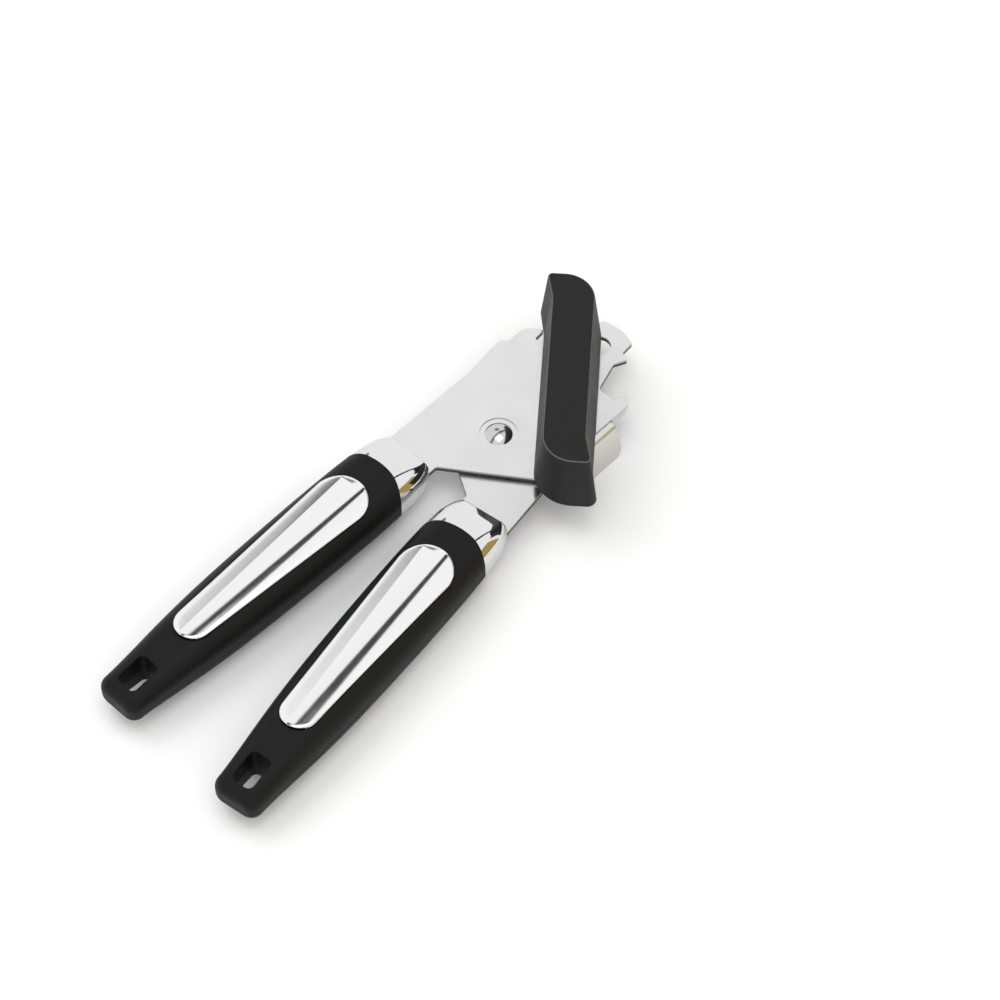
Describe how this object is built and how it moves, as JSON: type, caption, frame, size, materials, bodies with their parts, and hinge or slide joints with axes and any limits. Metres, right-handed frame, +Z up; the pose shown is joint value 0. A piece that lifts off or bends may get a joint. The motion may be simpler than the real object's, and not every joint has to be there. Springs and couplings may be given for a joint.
{
  "type": "manual can opener",
  "caption": "Hand-held can opener with two riveted plate arms, moulded handles with chrome inlays, an S-shaped turning knob, feed and cutting wheels and a bottle-opener mouth.",
  "frame": {"origin": "centre of the bottom of the whole box, on the surface that the opener lies on, with the arms open as at rest", "axes": "+X along the upper arm from its tail to the head, +Z up through the knob, +Y towards the upper arm's outer side"},
  "size_m": [0.2198, 0.0744, 0.0355],
  "materials": {
    "plate_steel": "satin polished stainless sheet",
    "chrome_trim": "bright chrome plating",
    "soft_grip": "matte soft-touch moulding",
    "knob_plastic": "fine matte moulding",
    "inner_plastic": "plain moulding, hidden",
    "hard_steel": "hardened ground steel",
    "bush_brass": "turned",
    "bright_steel": "bright turned steel"
  },
  "bodies": {
    "upper_arm": {"upper_plate": "plate_steel", "upper_collar": "chrome_trim", "upper_grip_top": "soft_grip", "upper_grip_bottom": "soft_grip", "upper_inlay_top": "chrome_trim", "upper_inlay_bottom": "chrome_trim", "upper_handle_core": "inner_plastic", "upper_tang_pins": "bright_steel", "pivot_rivet": "bright_steel", "pivot_washer": "bright_steel", "rivet_back_washer": "bright_steel", "shaft_bushing": "bush_brass"},
    "lower_arm": {"lower_plate": "plate_steel", "lower_collar": "chrome_trim", "lower_grip_top": "soft_grip", "lower_grip_bottom": "soft_grip", "lower_inlay_top": "chrome_trim", "lower_inlay_bottom": "chrome_trim", "lower_handle_core": "inner_plastic", "lower_tang_pins": "bright_steel", "cutter_stud": "bright_steel", "cutter_spacer": "bright_steel"},
    "cutter": {"cutting_wheel": "hard_steel"},
    "drive": {"drive_shaft": "bright_steel", "feed_wheel": "hard_steel", "feed_wheel_nut": "bright_steel", "thrust_washer": "bright_steel", "knob_shell": "knob_plastic", "knob_hub": "inner_plastic"}
  },
  "joints": [
    {"name": "handle_pivot", "type": "hinge", "parent": "upper_arm", "child": "lower_arm", "pos_m": [0.04971, 0.00781, 0.0096], "axis": [0, 0, 1], "range_deg": [-7.8, 32]},
    {"name": "knob_turn", "type": "hinge", "parent": "upper_arm", "child": "drive", "pos_m": [0.07321, -0.00189, 0.012], "axis": [0, 0, 1], "continuous": true},
    {"name": "cutter_spin", "type": "hinge", "parent": "lower_arm", "child": "cutter", "pos_m": [0.07228, 0.01696, 0.002], "axis": [0, 0, 1], "continuous": true}
  ]
}
